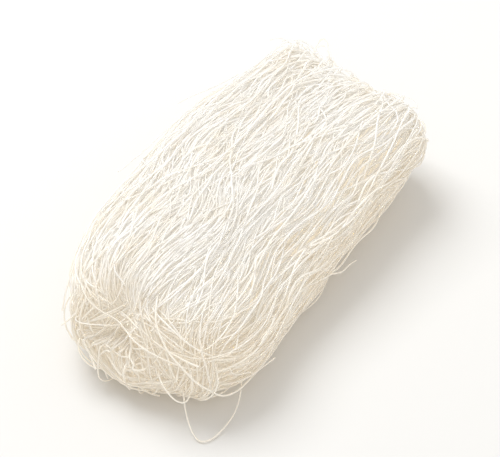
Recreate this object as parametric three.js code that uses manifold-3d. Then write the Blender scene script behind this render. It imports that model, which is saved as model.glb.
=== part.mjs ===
// A bundle of dried glass noodles: a hank of long, fine starch noodles, folded to and fro so that
// they turn back at both ends, and lying on its broad side.
// Millimetres, +Z up. +X runs along the bundle to its slanted end, +Y to its longer side.
// The origin is on the resting face, under the middle of the bundle's box.
import * as THREE from "three";
import { mergeVertices } from "three/addons/utils/BufferGeometryUtils.js";
import Module from "manifold-3d";

// Driving dimensions
const NOODLE = 0.9; // diameter of one dried noodle
const LENGTH = 145; // over the tight noodles, without the loose loops
const WIDTH = 72;
const HEIGHT = 46; // before the underside settles flat
const SETTLE = 4; // how far the underside is pressed in where the bundle rests
const REST = 1.1; // height above the deepest noodle at which the underside is flat
const SIDE_POWER = 2.5; // 2 gives an elliptic cross-section, more squares it
const END_POWER = 3.9; // the same for the ends

// How the hank differs from an even pillow
const FAR_SLANT = 0.2; // at the +X end the +Y side is longer than the middle by this share
const NEAR_SLANT = -0.02; // the same at the -X end, where the -Y side is the longer one
const FAR_TAPER = 0.05; // the +X end is narrower by this share, the -X end wider
const BOW = 3; // sideways bow of the middle

// Swellings where the noodles bunch: height, then how fast each comes along and round the bundle
const SWELLINGS = [
  { height: 0.9, along: 2.2, round: 2, phase: 0.6 },
  { height: 0.7, along: 4.1, round: -3, phase: 2.0 },
  { height: 0.45, along: 7.3, round: 1, phase: 4.4 },
];

// Relief of the packed noodles under the ones that show
const LOCKS = 16; // bunches side by side round the bundle
const COLUMNS = 4 * LOCKS;
const ROWS = 17;
const LOCK_TOP = -1; // depth of a bunch's crest under the loose noodles
const LOCK_FOOT = -3; // depth between two bunches
const LOCK_EVEN = 0.7; // 1 makes all the creases alike, less makes some shallower
const LOCK_SWAY = 0.22; // how far the bunches swing round the bundle, in radians

// Noodles that show one by one. Angles are in radians, and an angle along a noodle is 0 at the +X
// end. lean tips the plane that a noodle runs in: 0 is upright. Offsets and sways of that plane, and
// the hairpins' places aside and in height, are shares of the hank's half width and height. proud is
// how far a noodle stands out of the hank.
const LONG = {
  count: 18,
  lean: 1.9,
  offset: [-0.5, 0.5],
  start: [-0.7, 0.5],
  sweep: [2.3, 3.9],
  sway: [0.06, 0.18],
};
const LOOPS = {
  count: 12,
  lean: [-0.3, 1.9],
  offset: [-0.6, 0.6],
  slip: [-0.3, 0.3],
  sweep: [1.7, 2.5],
  sway: [0.02, 0.08],
  proud: [2, 7],
};
const BROKEN = {
  count: 10,
  lean: [-0.2, 3.1],
  offset: [-0.7, 0.7],
  start: [0.5, 2.6],
  sweep: [0.9, 1.5],
  sway: [0.02, 0.08],
  proud: [3, 8],
};
const HAIRPINS = {
  count: 8,
  width: [8, 15],
  proud: [6, 12],
  aside: [-0.6, 0.6],
  height: [-0.3, 0.5],
  turn: [-0.7, 0.7],
};
const LAYERS = 4; // that the long noodles lie in
const LAYER = 0.7; // rise from one layer to the next
const RISE = 0.3; // of a long noodle over the bunches
const BUNCHES = 20; // that it rises over, in radians from tip to tip
const TUCK = -3.5; // depth to which the tips run into the packed hank
const TIP = 0.12; // share of a long noodle's length in which a tip runs in
const NOODLE_SIDES = 4;
const STEPS_PER_TURN = 38; // straight stretches in one full turn round the bundle
const END_STEPS = 0.35; // stretches are shorter at the ends, where the noodles turn, by this share
const HAIRPIN_STEPS = 12;
const SEED = 69;

const wasm = await Module();
wasm.setup();

const { clamp, lerp } = THREE.MathUtils;
const HALF = new THREE.Vector3(LENGTH / 2, WIDTH / 2, HEIGHT / 2);
const SPINE = HALF.x - HALF.z; // half the straight line that swellings and loops move away from
const FLOOR = -HALF.z + SETTLE;

// A small repeatable random generator, so that every build gives the same noodles.
let state = SEED;
const random = () => {
  state = (state * 16807) % 2147483647;
  return state / 2147483647;
};
const between = ([low, high]) => low + (high - low) * random();

// How far out a point of the unit pillow lies: 1 on its skin, less inside.
const reach = (p) => {
  const side = Math.abs(p.y) ** SIDE_POWER + Math.abs(p.z) ** SIDE_POWER;
  return (Math.abs(p.x) ** END_POWER + side ** (END_POWER / SIDE_POWER)) ** (1 / END_POWER);
};

// Follows a ray from a point inside the unit pillow out to its skin.
const toSkin = (from, direction) => {
  let near = 0;
  let far = 3;
  for (let i = 0; i < 30; i += 1) {
    const middle = (near + far) / 2;
    if (reach(from.clone().addScaledVector(direction, middle)) < 1) near = middle;
    else far = middle;
  }
  return from.clone().addScaledVector(direction, near);
};

// Height of the swellings at a point of the hank's skin.
const swell = (p) => {
  const turn = Math.atan2(p.z, p.y);
  const share = p.x / HALF.x;
  const one = (s) => s.height * Math.sin(s.along * share + s.round * turn + s.phase);
  return SWELLINGS.reduce((sum, s) => sum + one(s), 0);
};

// Takes a point of the unit pillow to the real hank, raised off its skin by lift.
const onHank = (unit, lift) => {
  const p = unit.clone().multiply(HALF);
  const spine = new THREE.Vector3(clamp(p.x, -SPINE, SPINE), 0, 0);
  const out = p.clone().sub(spine).normalize();
  p.addScaledVector(out, swell(p) + lift);
  const along = p.x / HALF.x;
  const across = p.y / HALF.y;
  p.x *= 1 + across * lerp(NEAR_SLANT, FAR_SLANT, (along + 1) / 2);
  p.y = p.y * (1 - FAR_TAPER * along) + BOW * (1 - along * along);
  const knee = FLOOR + SETTLE;
  if (p.z < knee) p.z = knee - SETTLE * (1 - Math.exp((p.z - knee) / SETTLE));
  p.z -= FLOOR;
  return p;
};

// A geometry as a closed solid.
const solidOf = (geometry) => {
  geometry.deleteAttribute("normal");
  geometry.deleteAttribute("uv");
  const merged = mergeVertices(geometry, 1e-4);
  return new wasm.Manifold(
    new wasm.Mesh({
      numProp: 3,
      vertProperties: merged.attributes.position.array,
      triVerts: new Uint32Array(merged.index.array),
    }),
  );
};

// The packed hank: a sphere with its poles at the two ends, drawn out to the pillow and creased
// lengthwise between the bunches, except under it, where its weight presses them together.
const packedHank = () => {
  const sphere = new THREE.SphereGeometry(1, COLUMNS, ROWS);
  const position = sphere.attributes.position;
  for (let i = 0; i < position.count; i += 1) {
    const p = new THREE.Vector3().fromBufferAttribute(position, i);
    const middle = Math.hypot(p.x, p.z); // 0 at the ends, 1 round the middle
    const column = Math.atan2(-p.z, p.x);
    const uneven = lerp(Math.sin(3 * column + 2 * p.y), 1, LOCK_EVEN);
    const crease = (0.5 - 0.5 * Math.cos(LOCKS * column)) * uneven;
    const swing = Math.sin(2.4 * p.y + 1) + 0.4 * Math.sin(5 * p.y);
    const round = column + LOCK_SWAY * middle * swing;
    const pressed = Math.max(0, -Math.sin(round));
    const direction = new THREE.Vector3(p.y, middle * Math.cos(round), middle * Math.sin(round));
    const depth = lerp(LOCK_TOP, LOCK_FOOT, crease * middle * (1 - pressed));
    const q = onHank(toSkin(new THREE.Vector3(), direction), depth);
    position.setXYZ(i, q.x, q.y, q.z);
  }
  return solidOf(sphere);
};

// A noodle along a row of points.
const noodleAlong = (points) => {
  const corners = Array.from({ length: NOODLE_SIDES }, (_, k) => {
    const a = (2 * Math.PI * k) / NOODLE_SIDES;
    return new THREE.Vector2(Math.cos(a), Math.sin(a)).multiplyScalar(NOODLE / 2);
  });
  const extrudePath = new THREE.CatmullRomCurve3(points);
  const settings = { steps: points.length - 1, extrudePath, bevelEnabled: false };
  return solidOf(new THREE.ExtrudeGeometry(new THREE.Shape(corners), settings));
};

// One noodle round the hank, in a plane that lean tips and offset moves off the middle. It runs
// from the angle start through sweep, and lift(share) raises it. The plane sways in two waves a
// turn and, half as far, in five.
const noodleRound = ({ lean, offset, start, sweep, sway, lift }) => {
  const up = new THREE.Vector3(0, Math.sin(lean), Math.cos(lean));
  const side = new THREE.Vector3(0, Math.cos(lean), -Math.sin(lean));
  const phase = between([0, 2 * Math.PI]);
  const steps = Math.ceil((Math.abs(sweep) / (2 * Math.PI)) * STEPS_PER_TURN);
  const points = Array.from({ length: steps + 1 }, (_, i) => {
    const share = i / steps;
    const even = start + sweep * share;
    const angle = even - (END_STEPS / 2) * Math.sin(2 * even);
    const shift = offset + sway * (Math.sin(2 * angle + phase) + 0.5 * Math.sin(5 * angle - phase));
    const direction = up.clone().multiplyScalar(Math.sin(angle)).setX(Math.cos(angle));
    return onHank(toSkin(side.clone().multiplyScalar(shift), direction), lift(share));
  });
  return noodleAlong(points);
};

// Sinks both tips of a noodle into the packed hank and lets the rest rise and fall over the bunches.
const tuckedIn = (height) => (share) => {
  const tip = Math.min(1, Math.min(share, 1 - share) / TIP);
  return lerp(TUCK, height + RISE * Math.sin(BUNCHES * share), tip);
};

const longNoodles = () =>
  Array.from({ length: LONG.count }, (_, k) =>
    noodleRound({
      lean: LONG.lean * lerp(-1, 1, (k + between([-0.5, 1.5])) / LONG.count),
      offset: between(LONG.offset),
      start: between(LONG.start),
      sweep: between(LONG.sweep),
      sway: between(LONG.sway),
      lift: tuckedIn(LAYER * (k % LAYERS)),
    }),
  );

// Wide loops that stand out of the two ends by turns.
const endLoops = () =>
  Array.from({ length: LOOPS.count }, (_, k) => {
    const end = k % 2 === 0 ? 0 : Math.PI;
    const sweep = between(LOOPS.sweep);
    const proud = between(LOOPS.proud);
    return noodleRound({
      lean: between(LOOPS.lean),
      offset: between(LOOPS.offset),
      start: end - sweep / 2 + between(LOOPS.slip),
      sweep,
      sway: between(LOOPS.sway),
      lift: (share) => lerp(TUCK, proud, Math.sin(Math.PI * share)),
    });
  });

// Broken noodles that leave the faces and stick out further towards their tips.
const brokenEnds = () =>
  Array.from({ length: BROKEN.count }, (_, k) => {
    const towards = k % 2 === 0 ? 1 : -1;
    const proud = between(BROKEN.proud);
    return noodleRound({
      lean: between(BROKEN.lean),
      offset: between(BROKEN.offset),
      start: between(BROKEN.start),
      sweep: towards * between(BROKEN.sweep),
      sway: between(BROKEN.sway),
      lift: (share) => lerp(TUCK, 0.2, Math.min(1, share / 0.2)) + proud * share ** 3,
    });
  });

// Narrow loops that hang out of the two ends by turns, with both legs in the packed hank.
const hairpins = () =>
  Array.from({ length: HAIRPINS.count }, (_, k) => {
    const end = new THREE.Vector3(k % 2 === 0 ? 1 : -1, 0, 0);
    const width = between(HAIRPINS.width);
    const proud = between(HAIRPINS.proud);
    const middle = new THREE.Vector3(0, between(HAIRPINS.aside), between(HAIRPINS.height));
    const turn = between(HAIRPINS.turn);
    const across = new THREE.Vector3(0, Math.cos(turn), Math.sin(turn));
    across.multiplyScalar(width / 2).divide(HALF);
    const points = Array.from({ length: HAIRPIN_STEPS + 1 }, (_, i) => {
      const angle = (Math.PI * i) / HAIRPIN_STEPS;
      const from = middle.clone().addScaledVector(across, Math.cos(angle));
      return onHank(toSkin(from, end), lerp(TUCK, proud, Math.sin(angle) ** 0.8));
    });
    return noodleAlong(points);
  });

// Everything under the resting face, to be cut away.
const underFloor = () => {
  const depth = 2 * HEIGHT;
  const slab = new THREE.BoxGeometry(3 * LENGTH, 3 * WIDTH, depth);
  return solidOf(slab.translate(0, 0, REST - depth / 2));
};

const noodles = [...longNoodles(), ...endLoops(), ...brokenEnds(), ...hairpins()];
const whole = noodles.reduce((sum, one) => sum.add(one), packedHank()).subtract(underFloor());

const { vertProperties, triVerts } = whole.getMesh();
const geometry = new THREE.BufferGeometry();
geometry.setAttribute("position", new THREE.BufferAttribute(vertProperties, 3));
geometry.setIndex(new THREE.BufferAttribute(triVerts, 1));
geometry.computeVertexNormals();
geometry.computeBoundingBox();
const box = geometry.boundingBox;

const bundle = new THREE.Mesh(
  geometry,
  new THREE.MeshStandardMaterial({ color: 0xece5d6, roughness: 0.45, metalness: 0 }),
);
bundle.name = "noodle_bundle";
bundle.position.set(-(box.min.x + box.max.x) / 2, -(box.min.y + box.max.y) / 2, -box.min.z);

const group = new THREE.Group();
group.add(bundle);
export default group;
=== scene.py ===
"""A bundle of dried glass noodles, made noodle by noodle round a packed core, on a pale floor.

The noodle code works in millimetres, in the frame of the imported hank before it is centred, and
pieces are made in metres. Leans, sweeps and turns are in radians, and an angle along a noodle is 0
at the hank's far end, its +X end. Depths are off the hank's skin, and negative inside it.
"""

import math
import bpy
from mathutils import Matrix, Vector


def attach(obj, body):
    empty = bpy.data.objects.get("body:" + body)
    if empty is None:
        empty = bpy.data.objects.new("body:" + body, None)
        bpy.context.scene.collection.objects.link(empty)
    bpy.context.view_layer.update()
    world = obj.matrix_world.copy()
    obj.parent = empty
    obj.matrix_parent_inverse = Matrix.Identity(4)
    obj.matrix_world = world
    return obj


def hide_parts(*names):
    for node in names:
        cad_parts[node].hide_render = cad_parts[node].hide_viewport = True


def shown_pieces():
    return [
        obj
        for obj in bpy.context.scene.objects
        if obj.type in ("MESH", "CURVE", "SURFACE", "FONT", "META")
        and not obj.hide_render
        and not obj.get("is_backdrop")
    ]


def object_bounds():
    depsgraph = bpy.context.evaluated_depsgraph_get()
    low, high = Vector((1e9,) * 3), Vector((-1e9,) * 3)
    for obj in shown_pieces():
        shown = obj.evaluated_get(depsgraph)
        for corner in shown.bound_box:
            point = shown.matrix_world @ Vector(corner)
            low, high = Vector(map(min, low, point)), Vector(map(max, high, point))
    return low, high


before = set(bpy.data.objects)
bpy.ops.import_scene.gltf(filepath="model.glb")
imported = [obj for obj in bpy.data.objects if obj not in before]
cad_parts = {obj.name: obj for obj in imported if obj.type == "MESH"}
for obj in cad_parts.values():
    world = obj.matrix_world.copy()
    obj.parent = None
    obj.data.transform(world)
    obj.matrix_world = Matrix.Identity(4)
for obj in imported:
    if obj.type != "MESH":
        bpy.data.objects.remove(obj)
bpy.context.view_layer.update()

import bpy
import numpy as np
from mathutils import Vector

bl_info = {
    "name": "Glass Noodle Bundle",
    "version": (1, 0, 0),
    "blender": (4, 5, 0),
    "location": "View3D > Sidebar > Noodles",
    "description": "Builds a bundle of dried glass noodles, noodle by noodle, with its stage",
    "category": "Add Mesh",
}

MM = 0.001
TURN = 2 * math.pi
NODE = "noodle_bundle"

# The hank that the noodles are packed into, as in the CAD model
LENGTH, WIDTH, HEIGHT = 145.0, 72.0, 46.0
SETTLE = 4.0  # how far the underside is pressed in where the bundle rests
REST = 1.1  # height above the deepest noodle at which the underside is flat
SIDE_POWER, END_POWER = 2.5, 3.9  # 2 gives an elliptic section and end, more squares them
FAR_SLANT, NEAR_SLANT = 0.2, -0.02  # share by which the +Y side of an end is longer
FAR_TAPER = 0.05  # share by which the far end is narrower and the near end wider
BOW = 3.0  # sideways bow of the middle
# Swellings: height, how fast each comes along and round the hank, and phase
SWELLINGS = ((0.9, 2.2, 2, 0.6), (0.7, 4.1, -3, 2.0), (0.45, 7.3, 1, 4.4))
HALF = np.array((LENGTH, WIDTH, HEIGHT)) / 2
SPINE = HALF[0] - HALF[2]
FLOOR = SETTLE - HALF[2]
CENTRING = np.array((-4.43, -2.65, -REST))
HALVINGS, BEYOND = 26, 3.0  # steps that find the skin along a ray, and a distance past it

# What the CAD model's hank doesn't have. Both far corners are longer and higher, and the -Y one
# stands further aside. The waist is in the +Y side, with its place and length as shares of half the
# hank. Hollows are in the upper half: x, y, length, width and depth, which is negative for a bulge.
CORNER_LONGER, CORNER_ASIDE, CORNER_HIGHER = 19.0, -6.0, 0.8
WAIST, WAIST_AT, WAIST_LENGTH = 6.5, 0.62, 0.24
HOLLOW_SLANT = 0.12
HOLLOWS = (
    (-24.0, -27.0, 32.0, 9.0, 2.8),
    (24.0, 9.0, 26.0, 6.0, 1.6),
    (10.0, -34.0, 40.0, 5.0, -1.0),
    (-74.0, 8.0, 9.0, 9.0, 8.0),
    (-54.0, -30.0, 16.0, 9.0, -2.2),
    (57.0, -33.0, 13.0, 10.0, -3.0),
)

# The noodles that show one by one, as in the CAD model
SEED = 69
LONG = {
    "count": 18,
    "lean": 1.9,
    "offset": (-0.5, 0.5),
    "start": (-0.7, 0.5),
    "sweep": (2.3, 3.9),
    "sway": (0.06, 0.18),
}
LOOPS = {
    "count": 12,
    "lean": (-0.3, 1.9),
    "offset": (-0.6, 0.6),
    "slip": (-0.3, 0.3),
    "sweep": (1.7, 2.5),
    "sway": (0.02, 0.08),
    "proud": (2, 7),
}
BROKEN = {
    "count": 10,
    "lean": (-0.2, 3.1),
    "offset": (-0.7, 0.7),
    "start": (0.5, 2.6),
    "sweep": (0.9, 1.5),
    "sway": (0.02, 0.08),
    "proud": (3, 8),
}
HAIRPINS = {
    "count": 8,
    "width": (8, 15),
    "proud": (6, 12),
    "aside": (-0.6, 0.6),
    "height": (-0.3, 0.5),
    "turn": (-0.7, 0.7),
}
LAYERS, LAYER = 4, 0.7  # how many layers, and the rise from one to the next
RISE, BUNCHES = 0.3, 20  # height of the bunches, and how fast they come from tip to tip
TUCK, TIP = -3.5, 0.12  # depth that tips run in to, and the share of a long noodle in which they do
SURFACE, SURFACED = 0.2, 0.2  # height of a broken noodle that has come out, and by what share of it
END_STEPS = 0.35  # steps are shorter round the ends by this share
CAD_STEPS, HAIRPIN_POINTS = 26, 33  # steps in a radian of such a noodle, and points of a hairpin
HAIRPIN_CURVE = 0.8
CAD_KINK = 0.07

# Waves and kinks along a noodle: how many at once, and the least share of their slope
WAVES, FLATTEST_WAVE = 3, 0.3
KINKS, FLATTEST_KINK, KINK_LENGTHS = 6, 0.4, (11, 34)
COARSE_POINTS = 260

# The planes that packed noodles run in: how many, how far they lean, how far aside they come
UPRIGHT = {"share": 0.7, "lean": 0.45, "aside": 0.5}
LEVEL = {"share": 0.16, "lean": 0.35, "aside": 0.22}
SLANTING_ASIDE = 0.35
FARTHEST_ASIDE = 0.8
SOFT_LIMIT = 0.93  # how far aside a swaying noodle can come

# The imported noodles. Waves are given by the fewest and most along a noodle, then by their slope.
INNER = {
    "seed": 5,
    "sideways": ((2, 7), 0.2),
    "up_down": ((3, 9), 0.05),
    "depth": (-6.5, -3.0),
    "proud": (2, 2),
    "kink": 0.05,
    "coarser": 1.5,
}
LOCKS = {
    "seed": 51,
    "level_deeper": 1.4,
    "swaying": ((2, 7), 0.15),
    "rolling": ((3, 7), 0.05),
    "sideways": ((6, 16), 0.14),
    "up_down": ((8, 18), 0.06),
    "lean_spread": 0.06,
    "offset_spread": 0.07,
    "depth_spread": 0.9,
    "proud": (1.5, 0.8),
    "deep_prouder": 0.5,
    "proud_spread": 1.2,
    "broken": 0.25,
    "kink": 0.06,
}
LOCK_PIECES = (
    ("under_locks", (-3.9, -2.3)),
    ("upper_locks_1", (-2.9, -1.5)),
    ("upper_locks_2", (-2.3, -0.9)),
    ("upper_locks_3", (-1.7, -0.4)),
    ("upper_locks_4", (-1.2, -0.1)),
)
CROSSING = {
    "seed": 41,
    "swaying": ((2, 5), 0.26),
    "sideways": ((6, 14), 0.12),
    "up_down": ((5, 12), 0.07),
    "depth": (-1.6, 0.5),
    "proud": (1.2, 1.2),
    "broken": 0.5,
    "kink": 0.07,
}
FLOW = ((0.07, 5.5, 1.5, 0.4), (0.045, 9.5, -3.0, 2.2))  # height, along, across and phase
END_FROM, END_LENGTH, END_CURVE = 0.85, 0.15, 1.5  # where noodles begin to stand proud of an end
BROKEN_SWEEP = (0.45, 0.9)  # shares of a full turn
BROKEN_TIP, BROKEN_DEEPER = 12, 1

# The loose noodles that the CAD model doesn't have
HANGING = (
    (-66, -11, 17),
    (-72.5, -16.7, 12.1),
    (-77.6, -20.8, 6.1),
    (-81.8, -26.3, 2.3),
    (-81.3, -29.9, 1.9),
    (-75.9, -31.9, 2.1),
    (-67.8, -32.4, 3.1),
    (-61.2, -31.3, 6.1),
    (-52, -27, 10),
)
HANGING_STEPS, HANGING_KINK = 5, 0.02
STRAYS = {
    "seed": 12,
    "sweep": (0.3, 1.2),
    "proud": (0.3, 2.8),
    "slant": 0.35,
    "bends": ((1, 3), 0.25),
    "curve": 0.6,
    "one_ended": 0.45,
    "stretch": (1, 3),
    "odds": (0.7, 0.3),
    "rise": 20,
    "surface": 0.3,
    "kink": 0.09,
}
END_TURNS = {
    "seed": 77,
    "width": (4, 14),
    "proud": (-1.5, 3.0),
    "far_prouder": 1.5,
    "turn": 0.7,
    "out": 0.62,
    "depth": -9,
    "curve": 0.6,
    "points": 15,
    "kink": 0.07,
}

# The core, which is creased lengthwise
CORE_DEPTH = -5.2
CREASES, CREASE_DEPTH = 24, 0.8
CREASE_SWAY, CREASE_WAVES, CREASE_PHASE = 0.25, 2.4, 1
CORE_CLEARANCE = 0.4  # above the floor

# How unlike one noodle is to the next, and how it thins and thickens on its way
THINNEST, THICKEST = 0.7, 1.4
THICKENING, THICKENING_LENGTH = 0.05, (3, 7)

# Finishes
NOODLE_FINISH = {"streaks": 260, "grain": 2600, "bump": 0.3, "clearness": 0.2, "depth": 0.8, "glow": 0.11}
CORE_FINISH = {"streaks": 420, "grain": 1500, "bump": 0.8, "clearness": 0.0, "depth": 0.3, "glow": 0.35}
PATCHES = 48
PATCH_WEIGHT, TONE_WEIGHT = 0.9, 0.45
PAINTED_SHADE_AT_FLOOR, PAINTED_LIGHT_AT_TOP = -0.3, 38 * MM  # painted light and shade: milkiness added at the floor, rising to 1 at the top, so the low parts are painted in warm shade and the top painted lighter
# Painted shade: milkiness is taken off over the near end, which paints that end clearer and warmer, as in
# shade
PAINTED_SHADE_AT_NEAR_END, PAINTED_SHADE_NEAR_FROM, PAINTED_SHADE_NEAR_TO = -0.3, -55 * MM, -78 * MM
ALL_CLEAR, ALL_MILKY = 1.5, 2.3
SMOOTHEST, ROUGHEST = 0.1, 0.3
STARCH_IOR = 1.5
GRAIN_HEIGHT = 0.05 * MM
LIGHT_REACH = 1.5 * MM

# The stage
FLOOR_SIZE, FLOOR_ROUGHNESS = 6, 0.9
SOFTBOXES = (
    ("key_softbox", (0.15, 0.45, 0.9), 0.7, 7.8, (1, 1, 1)),
    ("front_fill", (-0.8, -0.5, 0.5), 0.8, 0.75, (1, 0.84, 0.64)),
    ("side_fill", (0.45, -0.9, 0.4), 0.8, 1.0, (1, 0.97, 0.93)),
)
ROOM_COLOUR, ROOM_LIGHT = (1, 0.985, 0.96), 0.67
GAMMA = 1.12
AZIMUTH, ELEVATION = math.radians(-62), math.radians(40)
LENS, SENSOR = 230.0, 36.0
NEAREST = 0.01  # that the camera sees, in metres
PHOTO = (500, 457)
FILL = 0.885  # share of the frame that the bundle takes


# --- The hank's shape -------------------------------------------------------------------------


def reach(p):
    """How far out points of the unit pillow lie: 1 on its skin, less inside."""
    side = np.abs(p[:, 1]) ** SIDE_POWER + np.abs(p[:, 2]) ** SIDE_POWER
    return (np.abs(p[:, 0]) ** END_POWER + side ** (END_POWER / SIDE_POWER)) ** (1 / END_POWER)


def to_skin(start, direction):
    """Follows rays from points inside the unit pillow out to its skin."""
    near = np.zeros(len(direction))
    far = np.full(len(direction), BEYOND)
    for _ in range(HALVINGS):
        middle = (near + far) / 2
        inside = reach(start + direction * middle[:, None]) < 1
        near = np.where(inside, middle, near)
        far = np.where(inside, far, middle)
    return start + direction * near[:, None]


def swell(p):
    """Height of the swellings, less the depth of the hollows, at points of the hank's skin."""
    turn = np.arctan2(p[:, 2], p[:, 1])
    share = p[:, 0] / HALF[0]
    total = sum(h * np.sin(a * share + r * turn + phase) for h, a, r, phase in SWELLINGS)
    for x, y, length, width, depth in HOLLOWS:
        along = p[:, 0] - x
        away = (along / length) ** 2 + ((p[:, 1] - y - HOLLOW_SLANT * along) / width) ** 2
        total -= np.where(p[:, 2] > 0, depth * np.exp(-away), 0)
    return total


def on_hank(unit, lift):
    """Takes points of the unit pillow to the real hank, raised off its skin by lift."""
    p = unit * HALF
    spine = np.zeros_like(p)
    spine[:, 0] = np.clip(p[:, 0], -SPINE, SPINE)
    out = p - spine
    out /= np.linalg.norm(out, axis=1)[:, None]
    p = p + out * (swell(p) + lift)[:, None]
    along = p[:, 0] / HALF[0]
    across = p[:, 1] / HALF[1]
    slant = NEAR_SLANT + (FAR_SLANT - NEAR_SLANT) * (along + 1) / 2
    corner = np.clip(along, 0, 1) ** 2 * across**2
    waist = across**2 * WAIST * np.exp(-(((along - WAIST_AT) / WAIST_LENGTH) ** 2))
    x = p[:, 0] * (1 + across * slant) + CORNER_LONGER * corner
    y = p[:, 1] * (1 - FAR_TAPER * along) + BOW * (1 - along**2)
    y += np.where(across < 0, CORNER_ASIDE * corner, -waist)
    z = p[:, 2] * (1 + np.where(p[:, 2] > 0, CORNER_HIGHER * corner, 0))
    knee = FLOOR + SETTLE
    settled = knee - SETTLE * (1 - np.exp(np.minimum(z - knee, 0) / SETTLE))
    z = np.where(z < knee, settled, z)
    return np.stack((x, y, z - FLOOR), axis=1)


def plane_round(lean):
    """The upward and the sideways direction of a plane along the hank that lean tips over."""
    up = np.array((0, math.sin(lean), math.cos(lean)))
    side = np.array((0, math.cos(lean), -math.sin(lean)))
    return up, side


def round_hank(lean, shift, angles, lift):
    """Points round the hank at these angles, in a plane moved aside by shift."""
    up, side = plane_round(lean)
    direction = np.sin(angles)[:, None] * up
    direction[:, 0] = np.cos(angles)
    return on_hank(to_skin(shift[:, None] * side, direction), lift)


def out_of_end(end, middle, turn, width, points, lift):
    """A turn that comes out of an end of the hank; lift takes the sines of the angles round it."""
    across = np.array((0, math.cos(turn), math.sin(turn))) * width / 2 / HALF
    angle = np.linspace(0, math.pi, points)
    start = middle + np.cos(angle)[:, None] * across
    direction = np.tile((end, 0.0, 0.0), (points, 1))
    return on_hank(to_skin(start, direction), lift(np.maximum(np.sin(angle), 0)))


# --- The noodles that the CAD model has too ---------------------------------------------------


class Draws:
    """The small repeatable generator that places the noodles of the CAD model."""

    MULTIPLIER, MODULUS = 16807, 2147483647

    def __init__(self, seed):
        self.state = seed

    def between(self, low, high):
        self.state = self.state * self.MULTIPLIER % self.MODULUS
        return low + (high - low) * self.state / self.MODULUS

    def each(self, ranges, *names):
        return [self.between(*ranges[name]) for name in names]


def cad_round(draws, lean, offset, start, sweep, sway, lift):
    """A noodle round the hank, with the CAD model's formula and finer steps."""
    phase = draws.between(0, TURN)
    share = np.linspace(0, 1, math.ceil(abs(sweep) * CAD_STEPS) + 1)
    even = start + sweep * share
    angle = even - (END_STEPS / 2) * np.sin(2 * even)
    shift = offset + sway * (np.sin(2 * angle + phase) + 0.5 * np.sin(5 * angle - phase))
    return round_hank(lean, shift, angle, lift(share))


def cad_long(draws):
    """Long noodles round the hank, spread by how far they lean, in layers."""
    made = []
    for k in range(LONG["count"]):
        lean = LONG["lean"] * (2 * (k + draws.between(-0.5, 1.5)) / LONG["count"] - 1)
        offset, start, sweep, sway = draws.each(LONG, "offset", "start", "sweep", "sway")
        height = LAYER * (k % LAYERS)

        def lift(share, height=height):
            tip = np.minimum(1, np.minimum(share, 1 - share) / TIP)
            return TUCK + (height + RISE * np.sin(BUNCHES * share) - TUCK) * tip

        made.append(cad_round(draws, lean, offset, start, sweep, sway, lift))
    return made


def cad_loops(draws):
    """Loops that stand proud round both ends."""
    made = []
    for k in range(LOOPS["count"]):
        end = math.pi * (k % 2)
        sweep, proud, lean, offset = draws.each(LOOPS, "sweep", "proud", "lean", "offset")
        start = end - sweep / 2 + draws.between(*LOOPS["slip"])
        sway = draws.between(*LOOPS["sway"])

        def lift(share, proud=proud):
            return TUCK + (proud - TUCK) * np.sin(math.pi * share)

        made.append(cad_round(draws, lean, offset, start, sweep, sway, lift))
    return made


def cad_broken(draws):
    """Broken noodles, with one end in the hank and the other standing off it."""
    made = []
    for k in range(BROKEN["count"]):
        towards = -1 if k % 2 else 1
        names = ("proud", "lean", "offset", "start", "sweep", "sway")
        proud, lean, offset, start, sweep, sway = draws.each(BROKEN, *names)

        def lift(share, proud=proud):
            return TUCK + (SURFACE - TUCK) * np.minimum(1, share / SURFACED) + proud * share**3

        made.append(cad_round(draws, lean, offset, start, towards * sweep, sway, lift))
    return made


def cad_hairpins(draws):
    """Hairpins that come out of both ends and go back in."""
    made = []
    for k in range(HAIRPINS["count"]):
        end = -1.0 if k % 2 else 1.0
        names = ("width", "proud", "aside", "height", "turn")
        width, proud, aside, height, turn = draws.each(HAIRPINS, *names)
        middle = np.array((0, aside, height))

        def lift(sines, proud=proud):
            return TUCK + (proud - TUCK) * sines**HAIRPIN_CURVE

        made.append(out_of_end(end, middle, turn, width, HAIRPIN_POINTS, lift))
    return made


def cad_noodles():
    draws = Draws(SEED)
    return [*cad_long(draws), *cad_loops(draws), *cad_broken(draws), *cad_hairpins(draws)]


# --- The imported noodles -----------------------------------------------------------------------


def waves(rng, cycles, slope):
    """Random sines for a noodle: whole cycles along it, how steep, and where they start."""
    count = rng.integers(cycles[0], cycles[1] + 1, size=WAVES)
    steep = slope * rng.uniform(FLATTEST_WAVE, 1.0, size=WAVES)
    return list(zip(count, steep, rng.uniform(0, TURN, size=WAVES)))


def height_of(sines, distance):
    """What the sines add up to at distances along a noodle, in millimetres."""
    length = distance[-1]
    total = np.zeros_like(distance)
    for cycles, steep, phase in sines:
        total += steep * length / (TURN * cycles) * np.sin(TURN * cycles * distance / length + phase)
    return total


def along_line(points):
    """Distances of a line's points from its start."""
    return np.concatenate(([0], np.cumsum(np.linalg.norm(np.diff(points, axis=0), axis=1))))


def kinked(rng, points, slope):
    """The same line with the small kinks that a noodle dries with."""
    distance = along_line(points)
    moved = points.copy()
    for length in rng.uniform(*KINK_LENGTHS, size=KINKS):
        way = rng.normal(size=3)
        way /= np.linalg.norm(way)
        cycles = max(1, round(distance[-1] / length))
        sine = (cycles, slope * rng.uniform(FLATTEST_KINK, 1.0), rng.uniform(0, TURN))
        moved += height_of([sine], distance)[:, None] * way
    return moved


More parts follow.
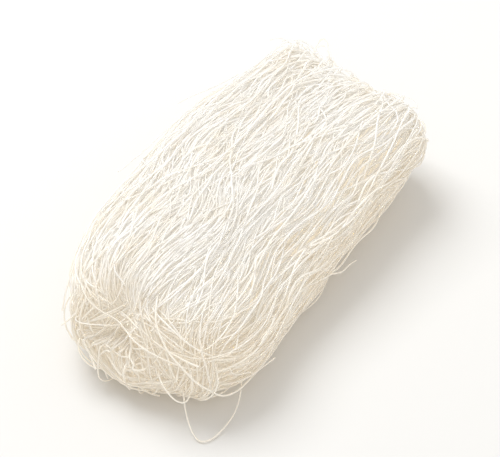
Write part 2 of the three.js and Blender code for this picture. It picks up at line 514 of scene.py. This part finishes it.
def even_angles(lean, offset, step, start=0.0, sweep=TURN):
    """Angles at which the points of a noodle are step apart, and their distances along it."""
    coarse = start + sweep * np.linspace(0, 1, COARSE_POINTS)
    coarse = coarse - (END_STEPS / 2) * np.sin(2 * coarse)
    points = round_hank(lean, np.full(len(coarse), offset), coarse, np.zeros(len(coarse)))
    run = along_line(points)
    distance = np.linspace(0, run[-1], round(run[-1] / step) + 1)
    return np.interp(distance, run, coarse), distance


def as_share(height, side):
    """A sideways height in millimetres as a share of the hank's half width that way."""
    return height / np.linalg.norm(side * HALF)


def held_in(shift):
    """Keeps a noodle's plane inside the hank, softly."""
    return SOFT_LIMIT * np.tanh(shift / SOFT_LIMIT)


def flow(along, offset):
    """How far all the upright noodles swerve together, as shares of the hank's half width."""
    swerve = sum(h * np.sin(a * along + b * offset + phase) for h, a, b, phase in FLOW)
    return swerve * (1 - along**8)


def packed_noodle(rng, lean, offset, depth, sideways, up_down, step, ends, open_at, kink):
    """One noodle of the hank: right round it and closed, or open where it is broken."""
    start, sweep = open_at or (0.0, TURN)
    angles, distance = even_angles(lean, offset, step, start, sweep)
    along = np.cos(angles)
    _, side = plane_round(lean)
    shift = offset + as_share(height_of(sideways, distance), side)
    shift = held_in(shift + math.cos(lean) * flow(along, offset))
    at_end = np.clip((np.abs(along) - END_FROM) / END_LENGTH, 0, 1)
    proud = np.where(along > 0, ends[0], ends[1]) * at_end**END_CURVE
    lift = depth + height_of(up_down, distance) + proud
    if open_at:
        tip = np.minimum(1, np.minimum(distance, distance[-1] - distance) / BROKEN_TIP)
        lift = TUCK - BROKEN_DEEPER + (lift - TUCK + BROKEN_DEEPER) * tip
    points = kinked(rng, round_hank(lean, shift, angles, lift), kink)
    return (points, False) if open_at else (points[:-1], True)


def some_plane(rng):
    """Lean and offset of a noodle's plane: upright ones come most, then level ones, then any."""
    kind = rng.random()
    if kind < UPRIGHT["share"]:
        lean, aside = rng.normal(0, UPRIGHT["lean"]), UPRIGHT["aside"]
    elif kind < UPRIGHT["share"] + LEVEL["share"]:
        lean, aside = rng.normal(math.pi / 2, LEVEL["lean"]), LEVEL["aside"]
    else:
        lean, aside = rng.uniform(0, math.pi), SLANTING_ASIDE
    return lean, float(np.clip(rng.normal(0, aside), -FARTHEST_ASIDE, FARTHEST_ASIDE))


def maybe_broken(rng, share):
    """Where an open noodle starts and how far it runs, or None for a closed one."""
    if rng.random() > share:
        return None
    return rng.uniform(0, TURN), rng.uniform(*BROKEN_SWEEP) * TURN


def inner_noodles(count, step):
    """Noodles that run one by one, over the core and under the locks."""
    rng = np.random.default_rng(INNER["seed"])
    ends, kink = INNER["proud"], INNER["kink"]
    made = []
    for _ in range(count):
        sideways = waves(rng, *INNER["sideways"])
        up_down = waves(rng, *INNER["up_down"])
        place = (*some_plane(rng), rng.uniform(*INNER["depth"]))
        made.append(packed_noodle(rng, *place, sideways, up_down, step, ends, None, kink))
    return made


def lock_noodles(seed, locks, each, depths, step):
    """Noodles that run in locks, side by side, each lock swaying as one."""
    rng = np.random.default_rng(seed)
    kink = LOCKS["kink"]
    made = []
    for _ in range(locks):
        lean, offset = some_plane(rng)
        depth = rng.uniform(*depths) - LOCKS["level_deeper"] * math.sin(lean) ** 4
        swaying, rolling = waves(rng, *LOCKS["swaying"]), waves(rng, *LOCKS["rolling"])
        ends = rng.gamma(*LOCKS["proud"], size=2) - depth * LOCKS["deep_prouder"]
        for _ in range(each):
            sideways = swaying + waves(rng, *LOCKS["sideways"])
            up_down = rolling + waves(rng, *LOCKS["up_down"])
            place = (
                lean + rng.normal(0, LOCKS["lean_spread"]),
                offset + rng.normal(0, LOCKS["offset_spread"]),
                depth + rng.uniform(-LOCKS["depth_spread"], LOCKS["depth_spread"]),
            )
            proud = ends + rng.normal(0, LOCKS["proud_spread"], size=2)
            broken = maybe_broken(rng, LOCKS["broken"])
            made.append(packed_noodle(rng, *place, sideways, up_down, step, proud, broken, kink))
    return made


def crossing_noodles(count, step):
    """Single noodles that lie over the locks at a slant."""
    rng = np.random.default_rng(CROSSING["seed"])
    kink = CROSSING["kink"]
    made = []
    for _ in range(count):
        sideways = waves(rng, *CROSSING["swaying"]) + waves(rng, *CROSSING["sideways"])
        up_down = waves(rng, *CROSSING["up_down"])
        place = (*some_plane(rng), rng.uniform(*CROSSING["depth"]))
        proud = rng.gamma(*CROSSING["proud"], size=2)
        broken = maybe_broken(rng, CROSSING["broken"])
        made.append(packed_noodle(rng, *place, sideways, up_down, step, proud, broken, kink))
    return made


# --- The loose noodles ------------------------------------------------------------------------


def through(points, steps):
    """A smooth line through given points."""
    p = np.array((points[0], *points, points[-1]), dtype=float)
    t = np.linspace(0, 1, steps, endpoint=False)[:, None]
    parts = []
    for a, b, c, d in zip(p, p[1:], p[2:], p[3:]):
        bends = (c - a) * t + (2 * a - 5 * b + 4 * c - d) * t**2 + (3 * b - a - 3 * c + d) * t**3
        parts.append(b + bends / 2)
    return np.concatenate(parts)


def stray(rng, step):
    """A short noodle on the skin; some have one end in the hank and the other standing off it."""
    lean, offset = some_plane(rng)
    start, sweep = rng.uniform(0, TURN), rng.uniform(*STRAYS["sweep"])
    angles, distance = even_angles(lean, offset, step, start, sweep)
    share = distance / distance[-1]
    proud = rng.uniform(*STRAYS["proud"])
    _, side = plane_round(lean)
    slant = rng.normal(0, STRAYS["slant"]) * (distance - distance[-1] / 2)
    bend = height_of(waves(rng, *STRAYS["bends"]), distance) + slant
    shift = held_in(offset + as_share(bend, side))
    lift = TUCK + (proud - TUCK) * np.sin(math.pi * share) ** STRAYS["curve"]
    if rng.random() < STRAYS["one_ended"]:
        proud *= rng.choice(STRAYS["stretch"], p=STRAYS["odds"])
        lift = np.minimum(TUCK + STRAYS["rise"] * share, STRAYS["surface"]) + proud * share**2
    return kinked(rng, round_hank(lean, shift, angles, lift), STRAYS["kink"])


def loose_noodles(count, step):
    """The CAD model's single noodles, a hairpin that hangs out of the near end, and small strays."""
    rng = np.random.default_rng(STRAYS["seed"])
    made = [kinked(rng, line, CAD_KINK) for line in cad_noodles()]
    made.append(kinked(rng, through(HANGING, HANGING_STEPS), HANGING_KINK))
    made += [stray(rng, step) for _ in range(count)]
    return [(line, False) for line in made]


def end_turns(count):
    """Short turns that come out of both ends of the hank and go back in."""
    rng = np.random.default_rng(END_TURNS["seed"])
    depth = END_TURNS["depth"]
    made = []
    for k in range(count):
        end = -1.0 if k % 2 else 1.0
        width = rng.uniform(*END_TURNS["width"])
        proud = rng.uniform(*END_TURNS["proud"]) + (END_TURNS["far_prouder"] if end > 0 else 0.0)
        turn = rng.normal(math.pi / 2, END_TURNS["turn"])
        out, bearing = END_TURNS["out"] * math.sqrt(rng.random()), rng.uniform(0, TURN)
        middle = np.array((0, out * math.cos(bearing), out * math.sin(bearing)))

        def lift(sines, proud=proud):
            return depth + (proud - depth) * sines ** END_TURNS["curve"]

        line = out_of_end(end, middle, turn, width, END_TURNS["points"], lift)
        made.append((kinked(rng, line, END_TURNS["kink"]), False))
    return made


# --- Meshes -----------------------------------------------------------------------------------


def add_node(tree, kind, inputs=None, **settings):
    """A new node. An input that is given a socket is linked to it, any other gets the value."""
    node = tree.nodes.new(kind)
    for name, value in settings.items():
        setattr(node, name, value)
    for name, value in (inputs or {}).items():
        if isinstance(value, bpy.types.NodeSocket):
            tree.links.new(value, node.inputs[name])
        else:
            node.inputs[name].default_value = value
    return node


def new_group(name, kind, inputs, outputs):
    """A node group with these named sockets."""
    group = bpy.data.node_groups.new(name, kind)
    for direction, sockets in (("INPUT", inputs), ("OUTPUT", outputs)):
        for socket, values in sockets.items():
            group.interface.new_socket(socket, in_out=direction, socket_type=f"NodeSocket{values}")
    return group


def noodle_tubes():
    """A Geometry Nodes group that gives each centre line its round section."""
    group = bpy.data.node_groups.get("Noodle tubes")
    if group:
        return group
    inputs = {"Centre lines": "Geometry", "Diameter": "Float", "Sides": "Int"}
    group = new_group("Noodle tubes", "GeometryNodeTree", inputs, {"Tubes": "Geometry"})
    group.is_modifier = True
    source = add_node(group, "NodeGroupInput").outputs
    curves = add_node(group, "GeometryNodeMeshToCurve", {"Mesh": source["Centre lines"]})
    named = {"Name": "thickness"}
    thickness = add_node(group, "GeometryNodeInputNamedAttribute", named, data_type="FLOAT")
    halved = {0: source["Diameter"], 1: 0.5}
    radius = add_node(group, "ShaderNodeMath", halved, operation="MULTIPLY")
    circle = {"Resolution": source["Sides"], "Radius": radius.outputs[0]}
    ring = add_node(group, "GeometryNodeCurvePrimitiveCircle", circle)
    swept = {
        "Curve": curves.outputs["Curve"],
        "Profile Curve": ring.outputs["Curve"],
        "Scale": thickness.outputs["Attribute"],
        "Fill Caps": True,
    }
    tubes = add_node(group, "GeometryNodeCurveToMesh", swept)
    smooth = add_node(group, "GeometryNodeSetShadeSmooth", {"Geometry": tubes.outputs["Mesh"]})
    add_node(group, "NodeGroupOutput", {"Tubes": smooth.outputs["Geometry"]})
    return group


def centre_lines(name, lines, spread, radius):
    """A mesh of the noodles' centre lines, in metres, with what each point carries."""
    rng = np.random.default_rng(len(lines))
    verts, edges, thickness, tone = [], [], [], []
    first = 0
    for points, closed in lines:
        count = len(points)
        line = points + CENTRING
        thick = float(np.clip(rng.normal(1, spread), THINNEST, THICKEST))
        line[:, 2] = np.maximum(line[:, 2], radius * thick)
        wobble = np.sin(along_line(line) / rng.uniform(*THICKENING_LENGTH) + rng.uniform(0, TURN))
        verts.append(line * MM)
        thickness.append(thick * (1 + THICKENING * wobble))
        # The second number isn't used: it keeps every draw after it as it is
        tone.append(np.full(count, rng.random(2)[0]))
        index = np.arange(first, first + count)
        edges.append(np.stack((index[:-1], index[1:]), axis=1))
        if closed:
            edges.append(np.array(((first + count - 1, first),)))
        first += count
    mesh = bpy.data.meshes.new(name)
    co, pairs = np.concatenate(verts), np.concatenate(edges)
    mesh.vertices.add(len(co))
    mesh.vertices.foreach_set("co", co.astype(np.float32).ravel())
    mesh.edges.add(len(pairs))
    mesh.edges.foreach_set("vertices", pairs.astype(np.int32).ravel())
    for attribute, values in (("thickness", thickness), ("tone", tone)):
        layer = mesh.attributes.new(attribute, "FLOAT", "POINT")
        layer.data.foreach_set("value", np.concatenate(values).astype(np.float32))
    mesh.update()
    return mesh


def apply_modifier(piece, modifier):
    bpy.ops.object.select_all(action="DESELECT")
    piece.select_set(True)
    bpy.context.view_layer.objects.active = piece
    bpy.ops.object.modifier_apply(modifier=modifier.name)


def finish_piece(piece, material):
    """Every piece of the bundle rides on its one body and stands for its one solid."""
    piece.data.materials.append(material)
    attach(piece, "root")
    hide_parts(NODE)


def noodle_piece(name, lines, scene, sides):
    """Turns centre lines into one finished piece."""
    sizes = scene.noodle_sizes
    radius = sizes.noodle_diameter / MM / 2
    mesh = centre_lines(name, lines, sizes.thickness_spread, radius)
    piece = bpy.data.objects.new(name, mesh)
    scene.collection.objects.link(piece)
    tubes = piece.modifiers.new("Tubes", "NODES")
    tubes.node_group = noodle_tubes()
    values = {"Diameter": sizes.noodle_diameter, "Sides": sides}
    for item in tubes.node_group.interface.items_tree:
        if item.name in values:
            tubes[item.identifier] = values[item.name]
    apply_modifier(piece, tubes)
    finish_piece(piece, noodle_material(scene.noodle_colours))


# --- Materials --------------------------------------------------------------------------------


def starch_streaks_and_painted_shade():
    """A shader group: dried starch, cloudier here and clearer there along and between the noodles.

    On top it is milkier, which is painted light, and towards the floor and the near end it is clearer and
    warmer, which is painted shade.
    """
    group = bpy.data.node_groups.get("Starch streaks and painted shade")
    if group:
        return group
    inputs = {"Clear": "Color", "Milky": "Color", "Scale": "Float", "Grain": "Float"}
    outputs = {"Colour": "Color", "Roughness": "Float", "Height": "Float"}
    group = new_group("Starch streaks and painted shade", "ShaderNodeTree", inputs, outputs)

    def calculate(operation, *terms):
        inputs = dict(enumerate(terms))
        return add_node(group, "ShaderNodeMath", inputs, operation=operation).outputs[0]

    def remap(value, **limits):
        named = {name.replace("_", " ").title(): limit for name, limit in limits.items()}
        return add_node(group, "ShaderNodeMapRange", {"Value": value, **named}).outputs["Result"]

    def noise(scale, detail):
        inputs = {"Vector": place, "Scale": scale, "Detail": detail}
        return add_node(group, "ShaderNodeTexNoise", inputs).outputs["Fac"]

    source = add_node(group, "NodeGroupInput").outputs
    place = add_node(group, "ShaderNodeTexCoord").outputs["Object"]
    tone = add_node(group, "ShaderNodeAttribute", attribute_name="tone").outputs["Fac"]
    axes = add_node(group, "ShaderNodeSeparateXYZ", {0: place}).outputs
    cloud = noise(source["Scale"], detail=3)
    # painted light and shade: by height alone, the colour turns clearer and warmer towards the floor and
    # milkier towards the top
    high = remap(axes["Z"], from_max=PAINTED_LIGHT_AT_TOP, to_min=PAINTED_SHADE_AT_FLOOR)
    # painted shade: the near end is turned clearer and warmer
    near = remap(axes["X"], from_min=PAINTED_SHADE_NEAR_FROM, from_max=PAINTED_SHADE_NEAR_TO, to_max=PAINTED_SHADE_AT_NEAR_END)
    mixed = calculate("MULTIPLY_ADD", noise(PATCHES, detail=1), PATCH_WEIGHT, cloud)
    mixed = calculate("MULTIPLY_ADD", tone, TONE_WEIGHT, mixed)
    mixed = calculate("ADD", mixed, high)
    mixed = calculate("ADD", mixed, near)
    # the mix holds random streaks and tone, and the painted light and shade of height and the near end
    milkiness_and_painted_shade = remap(mixed, from_min=ALL_CLEAR, from_max=ALL_MILKY)
    blend = {"Factor": milkiness_and_painted_shade, 6: source["Clear"], 7: source["Milky"]}
    colour = add_node(group, "ShaderNodeMix", blend, data_type="RGBA")
    made = {
        "Colour": colour.outputs[2],
        "Roughness": remap(cloud, to_min=SMOOTHEST, to_max=ROUGHEST),
        "Height": noise(source["Grain"], detail=2),
    }
    add_node(group, "NodeGroupOutput", made)
    return group


def starch_material(name, clear, milky, finish):
    """A material of dried starch; the numbers that are the same all over are on the shader itself.

    The glow stands in for light that passes on from noodle to noodle, deep in the bundle.
    """
    material = bpy.data.materials.get(name)
    if material:
        return material
    material = bpy.data.materials.new(name)
    material.use_nodes = True
    tree = material.node_tree
    shader = tree.nodes["Principled BSDF"]
    # its colour holds the starch streaks and the painted light and shade
    streaks = add_node(tree, "ShaderNodeGroup", node_tree=starch_streaks_and_painted_shade())
    streaks.inputs["Clear"].default_value = (*clear, 1)
    streaks.inputs["Milky"].default_value = (*milky, 1)
    streaks.inputs["Scale"].default_value = finish["streaks"]
    streaks.inputs["Grain"].default_value = finish["grain"]
    grain = {"Strength": finish["bump"], "Distance": GRAIN_HEIGHT, "Height": streaks.outputs["Height"]}
    relief = add_node(tree, "ShaderNodeBump", grain)
    tree.links.new(streaks.outputs["Colour"], shader.inputs["Base Color"])
    tree.links.new(streaks.outputs["Colour"], shader.inputs["Emission Color"])
    tree.links.new(streaks.outputs["Roughness"], shader.inputs["Roughness"])
    tree.links.new(relief.outputs["Normal"], shader.inputs["Normal"])
    shader.inputs["IOR"].default_value = STARCH_IOR
    shader.inputs["Transmission Weight"].default_value = finish["clearness"]
    shader.inputs["Subsurface Weight"].default_value = finish["depth"]
    shader.inputs["Subsurface Radius"].default_value = (1.0, 1.0, 1.0)
    shader.inputs["Subsurface Scale"].default_value = LIGHT_REACH
    shader.inputs["Emission Strength"].default_value = finish["glow"]
    return material


def noodle_material(colours):
    return starch_material("Dried noodle", colours.clear, colours.milky, NOODLE_FINISH)


def core_material(colours):
    # painted shade: the core takes darker, warmer colours than the noodles, so the gaps between them read
    # as shade
    return starch_material("Packed noodles inside", colours.deep, colours.clear, CORE_FINISH)


# --- Sizes and colours ------------------------------------------------------------------------


class NoodleSizes(bpy.types.PropertyGroup):
    noodle_diameter: bpy.props.FloatProperty(
        name="Noodle diameter", description="Across one dried noodle", default=0.58 * MM, unit="LENGTH"
    )
    thickness_spread: bpy.props.FloatProperty(
        name="Thickness spread", description="How unlike the noodles are", default=0.15, subtype="FACTOR"
    )
    point_step: bpy.props.FloatProperty(
        name="Point step",
        description="Distance between the points of a noodle",
        default=2.8 * MM,
        unit="LENGTH",
    )
    inner: bpy.props.IntProperty(name="Inner noodles", description="Noodles over the core", default=120)
    locks: bpy.props.IntProperty(name="Locks", description="Locks of noodles in each piece", default=24)
    in_lock: bpy.props.IntProperty(name="Noodles in a lock", description="Noodles side by side", default=6)
    crossing: bpy.props.IntProperty(
        name="Crossing noodles", description="Single noodles on top", default=110
    )
    strays: bpy.props.IntProperty(name="Strays", description="Small loose noodles and ends", default=170)
    turns: bpy.props.IntProperty(name="End turns", description="Short turns at both ends", default=150)


class NoodleColours(bpy.types.PropertyGroup):
    clear: bpy.props.FloatVectorProperty(
        name="Clear starch",
        description="Where a noodle is clearest",
        default=(0.95, 0.873, 0.75),
        subtype="COLOR",
    )
    milky: bpy.props.FloatVectorProperty(
        name="Milky starch",
        description="Where a noodle is cloudy",
        default=(0.99, 0.965, 0.915),
        subtype="COLOR",
    )
    # Darker and warmer than the noodles: painted shade for the gaps where the core shows
    deep: bpy.props.FloatVectorProperty(
        name="Deep starch in painted shade",
        description="Inside the bundle",
        default=(0.93, 0.855, 0.72),
        subtype="COLOR",
    )
    floor: bpy.props.FloatVectorProperty(
        name="Floor",
        description="The floor under the bundle",
        default=(0.78, 0.78, 0.77),
        subtype="COLOR",
    )


# --- The bundle's operators -------------------------------------------------------------------


class PackedCore(bpy.types.Operator):
    """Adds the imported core, which shows between the noodles"""

    bl_idname = "noodles.packed_core"
    bl_label = "Packed core"

    def execute(self, context):
        bpy.ops.object.select_all(action="DESELECT")
        bpy.ops.mesh.primitive_uv_sphere_add(segments=96, ring_count=64, radius=1)
        core = context.object
        core.name = core.data.name = "packed_core"
        co = np.zeros(len(core.data.vertices) * 3)
        core.data.vertices.foreach_get("co", co)
        direction = co.reshape(-1, 3)[:, (2, 0, 1)]
        skin = to_skin(np.zeros_like(direction), direction)
        sway = CREASE_SWAY * np.sin(CREASE_WAVES * skin[:, 0] + CREASE_PHASE)
        turn = np.arctan2(skin[:, 2], skin[:, 1]) + sway
        crease = CREASE_DEPTH * (0.5 - 0.5 * np.cos(CREASES * turn)) * (1 - skin[:, 0] ** 4)
        points = on_hank(skin, CORE_DEPTH - crease) + CENTRING
        points[:, 2] = np.maximum(points[:, 2], CORE_CLEARANCE)
        core.data.vertices.foreach_set("co", (points * MM).ravel())
        core.data.update()
        bpy.ops.object.shade_smooth()
        finish_piece(core, core_material(context.scene.noodle_colours))
        return {"FINISHED"}


class InnerNoodles(bpy.types.Operator):
    """Adds the noodles that lie over the core, seen only through the ones above"""

    bl_idname = "noodles.inner"
    bl_label = "Inner noodles"

    def execute(self, context):
        sizes = context.scene.noodle_sizes
        lines = inner_noodles(sizes.inner, sizes.point_step * INNER["coarser"] / MM)
        noodle_piece("inner_noodles", lines, context.scene, sides=3)
        return {"FINISHED"}


class LockNoodles(bpy.types.Operator):
    """Adds the locks of noodles that make the bundle's surface"""

    bl_idname = "noodles.locks"
    bl_label = "Locks of noodles"

    def execute(self, context):
        sizes = context.scene.noodle_sizes
        step = sizes.point_step / MM
        for k, (name, depths) in enumerate(LOCK_PIECES):
            lines = lock_noodles(LOCKS["seed"] + k, sizes.locks, sizes.in_lock, depths, step)
            noodle_piece(name, lines, context.scene, sides=4)
        return {"FINISHED"}


class CrossingNoodles(bpy.types.Operator):
    """Adds single noodles that cross the locks at a slant"""

    bl_idname = "noodles.crossing"
    bl_label = "Crossing noodles"

    def execute(self, context):
        sizes = context.scene.noodle_sizes
        lines = crossing_noodles(sizes.crossing, sizes.point_step / MM)
        noodle_piece("crossing_noodles", lines, context.scene, sides=4)
        return {"FINISHED"}


class LooseNoodles(bpy.types.Operator):
    """Adds the noodles that show one by one: long ones, loops, hairpins and broken ends"""

    bl_idname = "noodles.loose"
    bl_label = "Loose noodles"

    def execute(self, context):
        sizes = context.scene.noodle_sizes
        lines = loose_noodles(sizes.strays, sizes.point_step / MM) + end_turns(sizes.turns)
        noodle_piece("loose_noodles", lines, context.scene, sides=5)
        return {"FINISHED"}


# --- The stage --------------------------------------------------------------------------------


def add_floor(scene):
    bpy.ops.object.select_all(action="DESELECT")
    bpy.ops.mesh.primitive_plane_add(size=FLOOR_SIZE)
    floor = bpy.context.object
    floor.name = "floor"
    material = bpy.data.materials.new("Pale floor")
    material.use_nodes = True
    shader = material.node_tree.nodes["Principled BSDF"]
    shader.inputs["Base Color"].default_value = (*scene.noodle_colours.floor, 1)
    shader.inputs["Roughness"].default_value = FLOOR_ROUGHNESS
    floor.data.materials.append(material)
    floor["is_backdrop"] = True


def add_softbox(name, place, size, watts, colour):
    """An area light that looks at the bundle."""
    bpy.ops.object.light_add(type="AREA", location=place)
    light = bpy.context.object
    light.name = name
    light.data.shape = "SQUARE"
    light.data.size = size
    light.data.energy = watts
    light.data.color = colour
    light.rotation_euler = (-Vector(place)).to_track_quat("-Z", "Y").to_euler()


def add_room(scene):
    """The even light of a pale room."""
    room = bpy.data.worlds.new("Pale room")
    scene.world = room
    room.use_nodes = True
    light = room.node_tree.nodes["Background"]
    light.inputs["Color"].default_value = (*ROOM_COLOUR, 1)
    light.inputs["Strength"].default_value = ROOM_LIGHT
    scene.view_settings.view_transform = "Standard"
    scene.view_settings.gamma = GAMMA


def all_points():
    """The points of every piece of the bundle."""
    points = []
    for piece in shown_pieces():
        co = np.zeros(len(piece.data.vertices) * 3)
        piece.data.vertices.foreach_get("co", co)
        points.append(co.reshape(-1, 3))
    return np.concatenate(points)


def seen_along(points, way):
    """How far the points reach along a direction of the picture, and their middle."""
    seen = points @ np.array(way)
    return seen.max() - seen.min(), (seen.max() + seen.min()) / 2


def add_camera(scene):
    """Stands the camera at the photograph's angle, as far off as the bundle's outline needs."""
    level = math.cos(ELEVATION)
    back = Vector((math.sin(AZIMUTH) * level, -math.cos(AZIMUTH) * level, math.sin(ELEVATION)))
    turn = (-back).to_track_quat("-Z", "Y")
    right, up = turn @ Vector((1, 0, 0)), turn @ Vector((0, 1, 0))
    points = all_points()
    width, across = seen_along(points, right)
    height, along = seen_along(points, up)
    pixel = max(width / PHOTO[0], height / PHOTO[1]) / FILL
    distance = PHOTO[0] * pixel * LENS / SENSOR
    lo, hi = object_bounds()
    middle = (lo + hi) / 2
    target = middle + right * (across - middle.dot(right)) + up * (along - middle.dot(up))
    bpy.ops.object.camera_add(location=target + back * distance, rotation=turn.to_euler())
    camera = bpy.context.object
    camera.name = "camera"
    camera.data.lens = LENS
    camera.data.sensor_width = SENSOR
    camera.data.clip_start = NEAREST
    scene.camera = camera


class Stage(bpy.types.Operator):
    """Adds the floor, the lights and the camera"""

    bl_idname = "noodles.stage"
    bl_label = "Stage"

    def execute(self, context):
        add_floor(context.scene)
        for softbox in SOFTBOXES:
            add_softbox(*softbox)
        add_room(context.scene)
        add_camera(context.scene)
        return {"FINISHED"}


# --- The add-on -------------------------------------------------------------------------------


class NoodlePanel(bpy.types.Panel):
    """Sizes, colours and the steps that build the bundle"""

    bl_idname = "VIEW3D_PT_glass_noodles"
    bl_label = "Glass noodles"
    bl_space_type = "VIEW_3D"
    bl_region_type = "UI"
    bl_category = "Noodles"

    def draw(self, context):
        for group in (context.scene.noodle_sizes, context.scene.noodle_colours):
            for name in group.__annotations__:
                self.layout.prop(group, name)
        for step in STEPS:
            self.layout.operator(step.bl_idname)


STEPS = (PackedCore, InnerNoodles, LockNoodles, CrossingNoodles, LooseNoodles, Stage)
CLASSES = (NoodleSizes, NoodleColours, *STEPS, NoodlePanel)


def register():
    for cls in CLASSES:
        bpy.utils.register_class(cls)
    bpy.types.Scene.noodle_sizes = bpy.props.PointerProperty(type=NoodleSizes)
    bpy.types.Scene.noodle_colours = bpy.props.PointerProperty(type=NoodleColours)


def unregister():
    del bpy.types.Scene.noodle_sizes
    del bpy.types.Scene.noodle_colours
    for cls in reversed(CLASSES):
        bpy.utils.unregister_class(cls)


def main():
    register()
    bpy.ops.object.select_all(action="DESELECT")
    bpy.ops.noodles.packed_core()
    bpy.ops.noodles.inner()
    bpy.ops.noodles.locks()
    bpy.ops.noodles.crossing()
    bpy.ops.noodles.loose()
    bpy.ops.noodles.stage()


if __name__ == "__main__":
    main()
